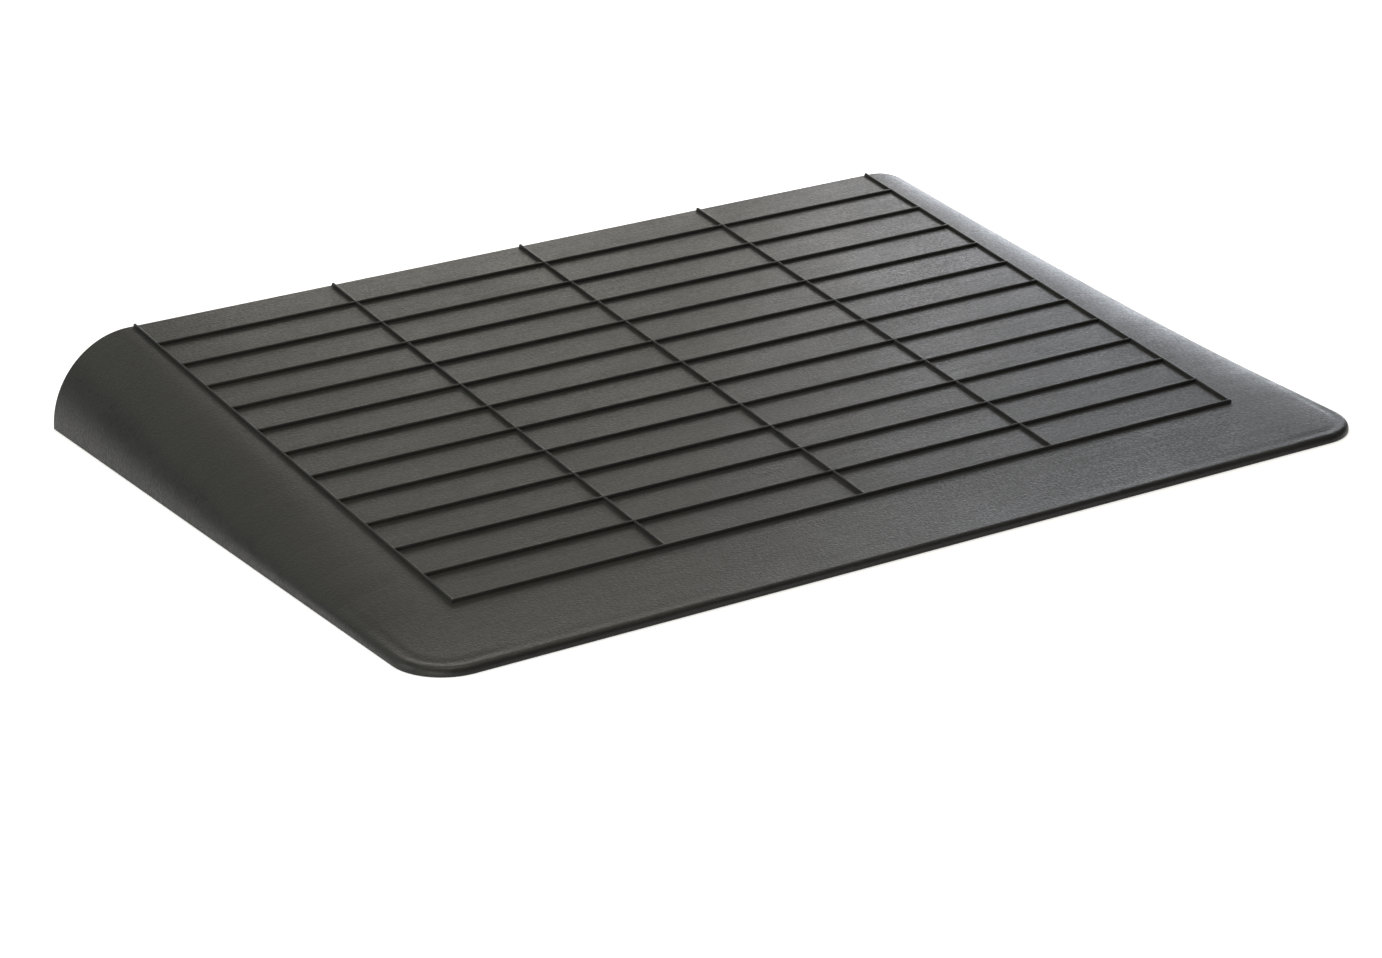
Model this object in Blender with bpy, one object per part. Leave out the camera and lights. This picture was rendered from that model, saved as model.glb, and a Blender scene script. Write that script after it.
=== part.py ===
"""A moulded rubber kerb ramp: ribbed cover, kerb panel, bearers, ties, feet and screws.

The frame is in metres. The origin is on the ground under the middle of the footprint, +X runs along
the kerb, +Y points up the slope to the kerb and +Z is up.
"""

import math

import bmesh
import bpy
from mathutils import Matrix, Vector

# Overall size of the ramp
OVERALL_WIDTH = 0.914
OVERALL_DEPTH = 0.617
CREST_HEIGHT = 0.077
APRON_LENGTH = 0.090
APRON_HEIGHT = 0.0150
LIP_HEIGHT = 0.0064

# Rounded wings, front corners and edges of the cover
WING_WIDTH = 0.0725
RIM_HEIGHT_FRONT = 0.0060
RIM_HEIGHT_REAR = 0.0010
CORNER_RADIUS = 0.044
LIP_ROUND = 0.0036
CREST_ROUND = 0.0025
COVER_WALL = 0.008
CAVITY_END_HEIGHT = 0.010

# Tread ribs, which stand on the deck
LONG_RIBS = 5
CROSS_RIBS = 12
RIB_HEIGHT = 0.0028
RIB_TOP_WIDTH = 0.0020
RIB_DRAFT = 0.0003
RIB_EDGE_MARGIN = 0.0055

# Panel that closes the back of the cover and stands against the kerb
PANEL_THICKNESS = 0.008

# Bearers under the long ribs, the ties across them and the feet below them
BEARER_WIDTH = 0.030
BEARER_CLEARANCE_BELOW = 0.003
TIE_COUNT = 3
TIE_WIDTH = 0.026
TIE_THICKNESS = 0.006
TIE_OVERHANG = 0.008
FOOT_RADIUS = 0.012
FOOT_RECESS = 0.002
FOOT_END_MARGIN = 0.040
FOOT_CHAMFER = 0.001

# Screws
SHANK_RADIUS = 0.0025
HEAD_RADIUS = 0.0045
HEAD_HEIGHT = 0.0030
HEAD_EDGE = 0.0008
TIE_SCREW_LENGTH = 0.012
PANEL_SCREW_LENGTH = 0.026
PANEL_SCREW_EDGE = 0.016
PANEL_SCREW_SINK = 0.0042

# Gap between pieces that touch, and how far a cutter runs past what it cuts
FIT = 0.0003
OVERCUT = 0.010

# Smoothness of round shapes, and the distance at which points on an axis are one
SMOOTH_ANGLE = 30
WELD = 1e-6
WING_STEPS = 8
ROUND_STEPS = 3
APRON_STEPS = 4
CAVITY_STEPS = 3
SCREW_SIDES = 12
FOOT_SIDES = 20

# Lines that follow from the sizes above
HALF_WIDTH = OVERALL_WIDTH / 2
REAR_Y = OVERALL_DEPTH / 2
FRONT_Y = -REAR_Y
WING_START = HALF_WIDTH - WING_WIDTH
CROSS_PITCH = (OVERALL_DEPTH - APRON_LENGTH) / CROSS_RIBS
LONG_PITCH = 2 * (WING_START - RIB_EDGE_MARGIN) / (LONG_RIBS - 1)
APRON_Y = FRONT_Y + APRON_LENGTH
DECK_SLOPE = (CREST_HEIGHT - APRON_HEIGHT) / (REAR_Y - APRON_Y)
WALL_DROP = COVER_WALL * math.hypot(1.0, DECK_SLOPE)
CAVITY_FRONT_Y = REAR_Y - (CREST_HEIGHT - WALL_DROP - CAVITY_END_HEIGHT) / DECK_SLOPE
LONG_RIB_X = [LONG_PITCH * (i - (LONG_RIBS - 1) / 2) for i in range(LONG_RIBS)]
CROSS_RIB_Y = [REAR_Y - CROSS_PITCH * (i + 1) for i in range(CROSS_RIBS)]
RIB_HALF_TOP = RIB_TOP_WIDTH / 2
RIB_HALF_BASE = RIB_HALF_TOP + RIB_DRAFT
BEARER_REAR_Y = REAR_Y - PANEL_THICKNESS - FIT
BEARER_FRONT_Y = CAVITY_FRONT_Y + FIT
TIE_STEP = (BEARER_REAR_Y - BEARER_FRONT_Y) / (TIE_COUNT + 1)
TIE_Y = [BEARER_REAR_Y - TIE_STEP * (i + 1) for i in range(TIE_COUNT)]
FOOT_Y = [BEARER_REAR_Y - FOOT_END_MARGIN, BEARER_FRONT_Y + FOOT_END_MARGIN]
TIE_TOP = BEARER_CLEARANCE_BELOW + TIE_THICKNESS
PANEL_HEAD_Y = REAR_Y - PANEL_SCREW_SINK + HEAD_HEIGHT + FIT

FOOT_NAMES = ["rear", "front"]
LEVEL_NAMES = ["lower", "upper"]


# Heights of the moulded cover


def deck_height(y):
    """Height of the deck between its ribs: a plane, easing over the apron to the lip."""
    height = CREST_HEIGHT - DECK_SLOPE * (REAR_Y - y)
    if y < APRON_Y:
        share = (APRON_Y - y) / APRON_LENGTH
        lift = LIP_HEIGHT - (CREST_HEIGHT - DECK_SLOPE * OVERALL_DEPTH)
        height += lift * share**2
    return height


def wing_share(x, width):
    """Share of the deck height left at x, down a quarter ellipse of this width."""
    across = min(max((abs(x) - WING_START) / width, 0.0), 1.0)
    return math.sqrt(1 - across**2)


def front_edge(x):
    """Y of the footprint's front edge at x, with its rounded corners."""
    over = min(max(abs(x) - (HALF_WIDTH - CORNER_RADIUS), 0.0), CORNER_RADIUS)
    return FRONT_Y + CORNER_RADIUS - math.sqrt(CORNER_RADIUS**2 - over**2)


def quarter_drop(distance, radius):
    """How far a rounded edge of this radius lies below its flat, this far inside the edge."""
    inside = min(max(radius - distance, 0.0), radius)
    return radius - math.sqrt(radius**2 - inside**2)


def lip_drop(x, y):
    """Rounding of the lip's top edge, fading out where the corner turns into the wing's side."""
    over = abs(x) - (HALF_WIDTH - CORNER_RADIUS)
    ahead = FRONT_Y + CORNER_RADIUS - y
    if over <= 0:
        return quarter_drop(y - FRONT_Y, LIP_ROUND)
    if ahead <= 0:
        return 0.0
    reach = math.hypot(over, ahead)
    return quarter_drop(CORNER_RADIUS - reach, LIP_ROUND) * ahead / reach


def rib_share(offset):
    """Share of the rib height at this distance from a rib's middle line."""
    return min(max((RIB_HALF_BASE - abs(offset)) / RIB_DRAFT, 0.0), 1.0)


def rib_height(x, y):
    """Height of the tread ribs above the deck, where there is one."""
    outer = LONG_RIB_X[-1] + RIB_HALF_BASE
    if abs(x) > outer or y < CROSS_RIB_Y[-1] - RIB_HALF_BASE:
        return 0.0
    long_share = max(rib_share(x - rib_x) for rib_x in LONG_RIB_X)
    cross_share = max(rib_share(y - rib_y) for rib_y in CROSS_RIB_Y)
    end_share = min(max((y - (CROSS_RIB_Y[-1] - RIB_HALF_BASE)) / RIB_DRAFT, 0.0), 1.0)
    side_share = min(max((outer - abs(x)) / RIB_DRAFT, 0.0), 1.0)
    return RIB_HEIGHT * max(min(long_share, end_share), min(cross_share, side_share))


def cover_height(x, y):
    """Height of the cover's outer skin."""
    forward = (REAR_Y - y) / OVERALL_DEPTH
    rim = RIM_HEIGHT_REAR + (RIM_HEIGHT_FRONT - RIM_HEIGHT_REAR) * forward
    rim = min(rim, deck_height(y))
    skin = rim + (deck_height(y) - rim) * wing_share(x, WING_WIDTH)
    crest = quarter_drop(REAR_Y - y, CREST_ROUND) * wing_share(x, WING_WIDTH)
    return skin + rib_height(x, y) - lip_drop(x, y) - crest


def cavity_height(x, y):
    """Height of the hollow's ceiling under the cover."""
    ceiling = CREST_HEIGHT - WALL_DROP - DECK_SLOPE * (REAR_Y - y)
    return ceiling * wing_share(x, WING_WIDTH - COVER_WALL)


# Stations of the cover's mesh, along and across the slope


def rib_stations(middle):
    """The four lines of a rib: both feet and both top edges."""
    return [middle + side for side in (-RIB_HALF_BASE, -RIB_HALF_TOP, RIB_HALF_TOP, RIB_HALF_BASE)]


def wing_stations(width):
    """X of the wing's lines, closer together where the quarter ellipse turns down."""
    turns = [math.pi / 2 * i / WING_STEPS for i in range(WING_STEPS + 1)]
    return [WING_START + width * math.sin(turn) for turn in turns]


def across_stations():
    """X of every line of the cover that runs up the slope."""
    wing = wing_stations(WING_WIDTH)
    ribs = [x for middle in LONG_RIB_X for x in rib_stations(middle)]
    return sorted([-x for x in wing] + ribs + wing)


def round_offsets(radius):
    """Distances inside an edge that follow a quarter round of this radius."""
    turns = [math.pi / 2 * i / ROUND_STEPS for i in range(ROUND_STEPS + 1)]
    return [radius * (1 - math.cos(turn)) for turn in turns]


def along_stations(x):
    """Y of every point of the cover on the line at x, from the lip to the crest."""
    edge = front_edge(x)
    lip = [edge + inside for inside in round_offsets(LIP_ROUND)]
    ribs = sorted(y for middle in CROSS_RIB_Y for y in rib_stations(middle))
    length = ribs[0] - lip[-1]
    apron = [lip[-1] + length * (i + 1) / APRON_STEPS for i in range(APRON_STEPS - 1)]
    crest = sorted(REAR_Y - inside for inside in round_offsets(CREST_ROUND))
    return lip + apron + ribs + crest


# Meshes and materials


def material(name, color, roughness, metallic=0.0):
    """A Principled material of one colour."""
    made = bpy.data.materials.new(name)
    made.use_nodes = True
    shader = made.node_tree.nodes["Principled BSDF"]
    shader.inputs["Base Color"].default_value = (*color, 1.0)
    shader.inputs["Roughness"].default_value = roughness
    shader.inputs["Metallic"].default_value = metallic
    return made


def finish(bm, name, look, smooth=False):
    """Turns the bmesh into an object of the scene with its material."""
    bmesh.ops.recalc_face_normals(bm, faces=bm.faces)
    mesh = bpy.data.meshes.new(name)
    bm.to_mesh(mesh)
    bm.free()
    mesh.materials.append(look)
    if smooth:
        mesh.shade_smooth()
        mesh.set_sharp_from_angle(angle=math.radians(SMOOTH_ANGLE))
    made = bpy.data.objects.new(name, mesh)
    bpy.context.scene.collection.objects.link(made)
    return made


def cut(target, cutter):
    """Takes the cutter's shape out of the target."""
    cutter.hide_render = True
    cutter.display_type = "WIRE"
    boolean = target.modifiers.new(f"cut_{cutter.name}", "BOOLEAN")
    boolean.operation = "DIFFERENCE"
    boolean.object = cutter


def height_field(columns, height, floor):
    """A closed solid between a floor and the skin that height gives over columns of (x, [y])."""
    across, along = len(columns), len(columns[0][1])
    bm = bmesh.new()
    bmesh.ops.create_grid(bm, x_segments=across - 1, y_segments=along - 1, size=1.0)
    for vertex in bm.verts:
        column = columns[round((vertex.co.x + 1) / 2 * (across - 1))]
        y = column[1][round((vertex.co.y + 1) / 2 * (along - 1))]
        vertex.co = (column[0], y, height(column[0], y))
    border = [edge for edge in bm.edges if edge.is_boundary]
    walls = bmesh.ops.extrude_edge_only(bm, edges=border)["geom"]
    for vertex in walls:
        if isinstance(vertex, bmesh.types.BMVert):
            vertex.co.z = floor
    bmesh.ops.edgeloop_fill(bm, edges=[edge for edge in bm.edges if edge.is_boundary])
    return bm


def prism(outline, direction):
    """A solid made by extruding a flat outline of points along a direction."""
    bm = bmesh.new()
    face = bm.faces.new([bm.verts.new(point) for point in outline])
    extruded = bmesh.ops.extrude_face_region(bm, geom=[face])["geom"]
    verts = [item for item in extruded if isinstance(item, bmesh.types.BMVert)]
    bmesh.ops.translate(bm, verts=verts, vec=direction)
    return bm


def turned(profile, sides):
    """A solid turned round Z from a profile of (radius, z) that starts and ends on the axis."""
    bm = bmesh.new()
    verts = [bm.verts.new((radius, 0.0, z)) for radius, z in profile]
    edges = [bm.edges.new(pair) for pair in zip(verts, verts[1:])]
    bmesh.ops.spin(
        bm,
        geom=verts + edges,
        axis=(0, 0, 1),
        cent=(0, 0, 0),
        steps=sides,
        angle=2 * math.pi,
        use_merge=True,
    )
    bmesh.ops.remove_doubles(bm, verts=bm.verts, dist=WELD)
    return bm


def bore(name, steps, place, turn, sides=SCREW_SIDES):
    """A round cutter along the turned +Z from its place, one step of (radius, far end) after another."""
    profile = [(0, 0)]
    start = 0
    for radius, end in steps:
        profile += [(radius, start), (radius, end)]
        start = end
    bm = turned(profile + [(0, start)], sides)
    bmesh.ops.transform(bm, matrix=Matrix.Translation(place) @ turn, verts=bm.verts)
    return finish(bm, name, bpy.data.materials["cutter"])


# Pieces of the ramp


def make_cover(look):
    """The moulded rubber cover: ribbed deck, wings and lip over an open hollow."""
    columns = [(x, along_stations(x)) for x in across_stations()]
    cover = finish(height_field(columns, cover_height, 0.0), "ramp_cover", look, smooth=True)
    wing = wing_stations(WING_WIDTH - COVER_WALL)
    length = REAR_Y + OVERCUT - CAVITY_FRONT_Y
    rows = [CAVITY_FRONT_Y + length * i / CAVITY_STEPS for i in range(CAVITY_STEPS + 1)]
    hollow = [(x, rows) for x in sorted([-x for x in wing] + wing)]
    cutter = height_field(hollow, cavity_height, -OVERCUT)
    cut(cover, finish(cutter, "cover_hollow", bpy.data.materials["cutter"]))


def bearer_top(middle, y):
    """Height of a bearer's top, clear of the ceiling across its whole width."""
    edges = (middle - BEARER_WIDTH / 2, middle + BEARER_WIDTH / 2)
    return min(cavity_height(x, y) for x in edges) - FIT


def bearer_outline(middle):
    """Side view of a bearer, with a notch below for each tie."""
    x = middle - BEARER_WIDTH / 2
    low = BEARER_CLEARANCE_BELOW
    points = [
        (x, BEARER_FRONT_Y, low),
        (x, BEARER_FRONT_Y, bearer_top(middle, BEARER_FRONT_Y)),
        (x, BEARER_REAR_Y, bearer_top(middle, BEARER_REAR_Y)),
        (x, BEARER_REAR_Y, low),
    ]
    for tie_y in TIE_Y:
        rear = tie_y + TIE_WIDTH / 2 + FIT
        front = tie_y - TIE_WIDTH / 2 - FIT
        notch = TIE_TOP + FIT
        points += [(x, rear, low), (x, rear, notch), (x, front, notch), (x, front, low)]
    return points


def panel_screw_heights(middle):
    """The heights of the two screws that hold the panel to one bearer."""
    low = BEARER_CLEARANCE_BELOW + PANEL_SCREW_EDGE
    return [low, bearer_top(middle, BEARER_REAR_Y) - PANEL_SCREW_EDGE]


def panel_outline():
    """Outline of the kerb panel, inside the cover's open back by the fitting gap."""
    y = REAR_Y - PANEL_THICKNESS
    width = WING_WIDTH - COVER_WALL - FIT
    height = cavity_height(0.0, y) - FIT
    turns = [math.pi / 2 * i / WING_STEPS for i in range(WING_STEPS + 1)]
    right = [(WING_START + width * math.sin(t), y, height * math.cos(t)) for t in turns]
    return right + [(-x, y, z) for x, y, z in reversed(right)]


def screw_mesh(length):
    """A pan-head screw along +Z: its head's outer face is at zero and its tip at the far end."""
    under = HEAD_HEIGHT
    profile = [
        (0, 0),
        (HEAD_RADIUS - HEAD_EDGE, 0),
        (HEAD_RADIUS, HEAD_EDGE),
        (HEAD_RADIUS, under),
        (SHANK_RADIUS, under),
        (SHANK_RADIUS, under + length - SHANK_RADIUS),
        (0, under + length),
    ]
    return turned(profile, SCREW_SIDES)


def make_bearer(index, middle, look):
    """A wedge-shaped bearer with its holes for screws and feet."""
    name = f"bearer_{index + 1}"
    bearer = finish(prism(bearer_outline(middle), Vector((BEARER_WIDTH, 0, 0))), name, look)
    hole = SHANK_RADIUS + FIT
    upright = Matrix.Identity(4)
    inward = Matrix.Rotation(math.pi / 2, 4, "X")
    for number, tie_y in enumerate(TIE_Y):
        tip = BEARER_CLEARANCE_BELOW + HEAD_HEIGHT + TIE_SCREW_LENGTH
        start = TIE_TOP - OVERCUT
        steps = [(hole, tip + FIT - start)]
        cut(bearer, bore(f"{name}_tie_hole_{number + 1}", steps, (middle, tie_y, start), upright))
    for number, foot_y in enumerate(FOOT_Y):
        start = BEARER_CLEARANCE_BELOW - OVERCUT
        steps = [(FOOT_RADIUS + FIT, OVERCUT + FOOT_RECESS + FIT)]
        place = (middle, foot_y, start)
        cut(bearer, bore(f"{name}_foot_seat_{number + 1}", steps, place, upright, FOOT_SIDES))
    for number, height in enumerate(panel_screw_heights(middle)):
        start = BEARER_REAR_Y + OVERCUT
        tip = PANEL_HEAD_Y - HEAD_HEIGHT - PANEL_SCREW_LENGTH
        steps = [(hole, start - tip + FIT)]
        cut(bearer, bore(f"{name}_panel_hole_{number + 1}", steps, (middle, start, height), inward))


def make_panel(look):
    """The panel that closes the cover's back, counterbored for its screws."""
    panel = finish(prism(panel_outline(), Vector((0, PANEL_THICKNESS, 0))), "kerb_panel", look)
    inward = Matrix.Rotation(math.pi / 2, 4, "X")
    steps = [
        (HEAD_RADIUS + FIT, OVERCUT + PANEL_SCREW_SINK),
        (SHANK_RADIUS + FIT, 2 * OVERCUT + PANEL_THICKNESS),
    ]
    for index, middle in enumerate(LONG_RIB_X):
        for number, height in enumerate(panel_screw_heights(middle)):
            place = (middle, REAR_Y + OVERCUT, height)
            cut(panel, bore(f"panel_hole_{index + 1}_{number + 1}", steps, place, inward))


def make_tie(name, tie_y, look):
    """A flat bar across the bearers, counterbored from below."""
    half = LONG_RIB_X[-1] + BEARER_WIDTH / 2 + TIE_OVERHANG
    front = tie_y - TIE_WIDTH / 2
    rear = tie_y + TIE_WIDTH / 2
    low = BEARER_CLEARANCE_BELOW
    outline = [(-half, front, low), (half, front, low), (half, rear, low), (-half, rear, low)]
    tie = finish(prism(outline, Vector((0, 0, TIE_THICKNESS))), name, look)
    steps = [
        (HEAD_RADIUS + FIT, OVERCUT + HEAD_HEIGHT + FIT),
        (SHANK_RADIUS + FIT, 2 * OVERCUT + TIE_THICKNESS),
    ]
    for index, middle in enumerate(LONG_RIB_X):
        place = (middle, tie_y, low - OVERCUT)
        cut(tie, bore(f"{name}_hole_{index + 1}", steps, place, Matrix.Identity(4)))


def make_foot(name, middle, foot_y, look):
    """A round rubber foot, seated in the underside of a bearer and standing on the ground."""
    top = BEARER_CLEARANCE_BELOW + FOOT_RECESS
    profile = [
        (0, 0),
        (FOOT_RADIUS - FOOT_CHAMFER, 0),
        (FOOT_RADIUS, FOOT_CHAMFER),
        (FOOT_RADIUS, top),
        (0, top),
    ]
    foot = finish(turned(profile, FOOT_SIDES), name, look, smooth=True)
    foot.location = (middle, foot_y, 0)


def make_screws(look):
    """The screws of the ties, driven upwards, and of the panel, driven in from the kerb side."""
    for number, tie_y in enumerate(TIE_Y):
        for index, middle in enumerate(LONG_RIB_X):
            name = f"tie_screw_{number + 1}_{index + 1}"
            screw = finish(screw_mesh(TIE_SCREW_LENGTH), name, look, smooth=True)
            screw.location = (middle, tie_y, BEARER_CLEARANCE_BELOW)
    for index, middle in enumerate(LONG_RIB_X):
        for level, height in zip(LEVEL_NAMES, panel_screw_heights(middle)):
            name = f"panel_screw_{level}_{index + 1}"
            screw = finish(screw_mesh(PANEL_SCREW_LENGTH), name, look, smooth=True)
            screw.rotation_euler = (math.pi / 2, 0, 0)
            screw.location = (middle, PANEL_HEAD_Y, height)


def main():
    """Clears the scene and builds every piece of the ramp."""
    for old in list(bpy.data.objects):
        bpy.data.objects.remove(old)
    material("cutter", (0.8, 0.1, 0.1), 0.5)
    rubber = material("cover_rubber", (0.018, 0.018, 0.017), 0.45)
    panel_rubber = material("panel_rubber", (0.022, 0.022, 0.021), 0.58)
    plastic = material("bearer_plastic", (0.022, 0.023, 0.024), 0.55)
    alloy = material("tie_aluminium", (0.60, 0.61, 0.62), 0.38, 1.0)
    foot_rubber = material("foot_rubber", (0.016, 0.016, 0.016), 0.70)
    steel = material("screw_steel", (0.52, 0.52, 0.50), 0.32, 1.0)
    make_cover(rubber)
    make_panel(panel_rubber)
    for index, middle in enumerate(LONG_RIB_X):
        make_bearer(index, middle, plastic)
        for foot_name, foot_y in zip(FOOT_NAMES, FOOT_Y):
            make_foot(f"foot_{foot_name}_{index + 1}", middle, foot_y, foot_rubber)
    for number, tie_y in enumerate(TIE_Y):
        make_tie(f"cross_tie_{number + 1}", tie_y, alloy)
    make_screws(steel)


main()
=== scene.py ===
"""The look of a moulded rubber curb ramp, on a pale floor under soft studio light.

Lengths are in metres. The origin is on the ground under the middle of the ramp, +X runs along the
kerb, +Y up the slope and +Z up.
"""

import logging
import math
from collections.abc import Callable, Iterable
from dataclasses import dataclass, field
from enum import Enum
from typing import ClassVar

import bmesh
import bpy
from mathutils import Matrix, Vector


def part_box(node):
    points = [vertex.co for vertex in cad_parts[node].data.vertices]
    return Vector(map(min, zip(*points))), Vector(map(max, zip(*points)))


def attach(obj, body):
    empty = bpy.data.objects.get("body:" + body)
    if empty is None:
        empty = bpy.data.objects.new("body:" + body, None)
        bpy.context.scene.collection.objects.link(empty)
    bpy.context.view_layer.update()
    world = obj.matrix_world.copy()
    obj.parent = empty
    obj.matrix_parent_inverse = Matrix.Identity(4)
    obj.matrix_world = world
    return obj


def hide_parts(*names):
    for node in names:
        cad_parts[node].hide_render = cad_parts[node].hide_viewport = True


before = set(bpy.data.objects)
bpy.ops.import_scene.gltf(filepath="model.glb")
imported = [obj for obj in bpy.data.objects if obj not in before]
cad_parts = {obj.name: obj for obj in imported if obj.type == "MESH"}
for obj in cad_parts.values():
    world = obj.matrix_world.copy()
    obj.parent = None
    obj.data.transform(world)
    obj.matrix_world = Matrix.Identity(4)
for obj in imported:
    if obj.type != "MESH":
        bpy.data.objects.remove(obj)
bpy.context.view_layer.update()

BODY = "root"
WELD = 1e-6
RIGHT_ANGLE = math.pi / 2
SMOOTH_ANGLE = math.radians(32.0)
FLAT_FACE_WEIGHT = 80
FACING = 0.9
FULLY_FACING = 0.99
EDGE_STEPS = 3
ROUND_STEPS = 4
SENSOR_WIDTH = 36.0
PLAY = 0.0003
OVERCUT = 0.002
TIE_COUNT = 3
LEVELS = ("lower", "upper")
ENDS = ("rear", "front")
WHITE = (1.0, 1.0, 1.0, 1.0)

Colour = tuple[float, float, float]
Point = tuple[float, float, float]
Span = tuple[float, float]
Socket = bpy.types.NodeSocket

ORIGIN: Point = (0.0, 0.0, 0.0)

log = logging.getLogger("curb_ramp")


# Work at the bench


class Kind(Enum):
    """What a selection in edit mode is made of."""

    POINTS = "VERT"
    EDGES = "EDGE"
    FACES = "FACE"


class Bench:
    """One mesh being modelled: a primitive that is shaped in edit mode and taken off as a piece."""

    def __init__(self, name: str) -> None:
        """Names the piece that will be made.

        Args:
            name: The name of the piece.
        """
        self.name = name
        self.piece: bpy.types.Object | None = None

    def _open(self) -> None:
        """Takes the new primitive into edit mode with all of it selected."""
        self.piece = bpy.context.active_object
        self.piece.name = self.name
        self.piece.data.name = self.name
        bpy.ops.object.mode_set(mode="EDIT")
        bpy.ops.mesh.select_all(action="SELECT")

    def start_sheet(self, low: Point, high: Point) -> "Bench":
        """Starts from a flat plane between two corners.

        Args:
            low: The corner with the lowest coordinates.
            high: The corner with the highest ones, at the same height.

        Returns:
            This bench, in edit mode.
        """
        lay_down_all()
        bpy.ops.mesh.primitive_plane_add(size=1.0)
        self._open()
        size = Vector(high) - Vector(low)
        self.stretch((size.x, size.y, 1.0))
        self.move((Vector(high) + Vector(low)) / 2)
        return self

    def start_block(self, low: Point, high: Point) -> "Bench":
        """Starts from a cube stretched between two corners.

        Args:
            low: The corner with the lowest coordinates.
            high: The corner with the highest ones.

        Returns:
            This bench, in edit mode.
        """
        lay_down_all()
        bpy.ops.mesh.primitive_cube_add(size=1.0)
        self._open()
        self.stretch(Vector(high) - Vector(low))
        self.move((Vector(high) + Vector(low)) / 2)
        return self

    def start_rod(self, radius: float, foot: float, top: float, sides: int) -> "Bench":
        """Starts from a cylinder on the Z axis.

        Args:
            radius: Its radius.
            foot: The height of its lower end.
            top: The height of its upper end.
            sides: How many sides it has.

        Returns:
            This bench, in edit mode.
        """
        lay_down_all()
        bpy.ops.mesh.primitive_cylinder_add(vertices=sides, radius=radius, depth=top - foot)
        self._open()
        self.move((0, 0, (foot + top) / 2))
        return self

    def choose(self, kind: Kind, test: Callable[..., bool]) -> None:
        """Selects only what passes the test.

        Args:
            kind: Points, edges or faces.
            test: Takes one of them and says whether it is wanted.
        """
        bpy.ops.mesh.select_mode(type=kind.value)
        bpy.ops.mesh.select_all(action="DESELECT")
        mesh = bmesh.from_edit_mesh(self.piece.data)
        parts = {Kind.POINTS: mesh.verts, Kind.EDGES: mesh.edges, Kind.FACES: mesh.faces}[kind]
        for part in [part for part in parts if test(part)]:
            part.select_set(True)
        bmesh.update_edit_mesh(self.piece.data)

    def slice(self, axis: int, places: Iterable[float]) -> None:
        """Cuts the whole mesh with planes square to one axis.

        Args:
            axis: 0 for X, 1 for Y and 2 for Z.
            places: Where each plane stands on that axis.
        """
        normal = [0.0, 0.0, 0.0]
        normal[axis] = 1.0
        for place in places:
            bpy.ops.mesh.select_all(action="SELECT")
            point = [place * part for part in normal]
            bpy.ops.mesh.bisect(plane_co=point, plane_no=normal, threshold=WELD)

    def stretch(self, factors: Iterable[float], about: Point = ORIGIN) -> None:
        """Scales what is selected about a point."""
        bpy.ops.transform.resize(value=tuple(factors), center_override=about)

    def move(self, by: Iterable[float]) -> None:
        """Moves what is selected."""
        bpy.ops.transform.translate(value=tuple(by))

    def pull(self, by: Iterable[float]) -> None:
        """Extrudes what is selected along a direction."""
        bpy.ops.mesh.extrude_region_move(TRANSFORM_OT_translate={"value": tuple(by)})

    def round_off(self, radius: float, steps: int) -> None:
        """Bevels the selected edges to a round of this radius."""
        bpy.ops.mesh.bevel(offset=radius, offset_type="OFFSET", segments=steps, affect="EDGES",
                           clamp_overlap=True)

    def lift(self, height: Callable[[float, float], float]) -> None:
        """Lifts every point of a flat pattern to the height that its X and Y give."""
        mesh = bmesh.from_edit_mesh(self.piece.data)
        for point in mesh.verts:
            point.co.z = height(point.co.x, point.co.y)
        bmesh.update_edit_mesh(self.piece.data)

    def close_down(self, depth: float = 0.0) -> None:
        """Draws the border straight down to this depth below the ground and closes the bottom."""
        self.choose(Kind.EDGES, lambda edge: edge.is_boundary)
        self.pull((0, 0, 0))
        self.stretch((1, 1, 0))
        self.move((0, 0, -depth))
        bpy.ops.mesh.edge_face_add()

    def weld(self) -> None:
        """Joins points that coincide and turns all faces outwards."""
        bpy.ops.mesh.select_all(action="SELECT")
        bpy.ops.mesh.remove_doubles(threshold=WELD)
        bpy.ops.mesh.normals_make_consistent(inside=False)

    def take_off(self) -> bpy.types.Object:
        """Welds and smooths the mesh, and leaves edit mode.

        Returns:
            The piece.
        """
        self.weld()
        bpy.ops.object.mode_set(mode="OBJECT")
        pick_up(self.piece)
        bpy.ops.object.transform_apply(location=True, rotation=True, scale=True)
        bpy.ops.object.shade_smooth_by_angle(angle=SMOOTH_ANGLE)
        return self.piece


def at_foot(edge: bmesh.types.BMEdge) -> bool:
    """Says whether an edge of an upright piece runs round its foot at height zero."""
    return all(point.co.z < WELD for point in edge.verts)


def lay_down_all() -> None:
    """Deselects every object, so that an operator acts only on what is chosen next."""
    bpy.ops.object.select_all(action="DESELECT")


def pick_up(piece: bpy.types.Object) -> None:
    """Selects only this piece and makes it the active one."""
    lay_down_all()
    piece.select_set(True)
    bpy.context.view_layer.objects.active = piece


def apply(piece: bpy.types.Object, modifier: bpy.types.Modifier) -> None:
    """Applies a modifier to its piece."""
    pick_up(piece)
    bpy.ops.object.modifier_apply(modifier=modifier.name)


def carve(piece: bpy.types.Object, cutter: bpy.types.Object) -> None:
    """Takes the cutter's shape out of the piece and clears the cutter away.

    Args:
        piece: The piece to cut.
        cutter: A closed shape that is used up.
    """
    boolean = piece.modifiers.new("carve", "BOOLEAN")
    boolean.operation = "DIFFERENCE"
    boolean.solver = "EXACT"
    boolean.object = cutter
    apply(piece, boolean)
    bpy.data.objects.remove(cutter)


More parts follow.
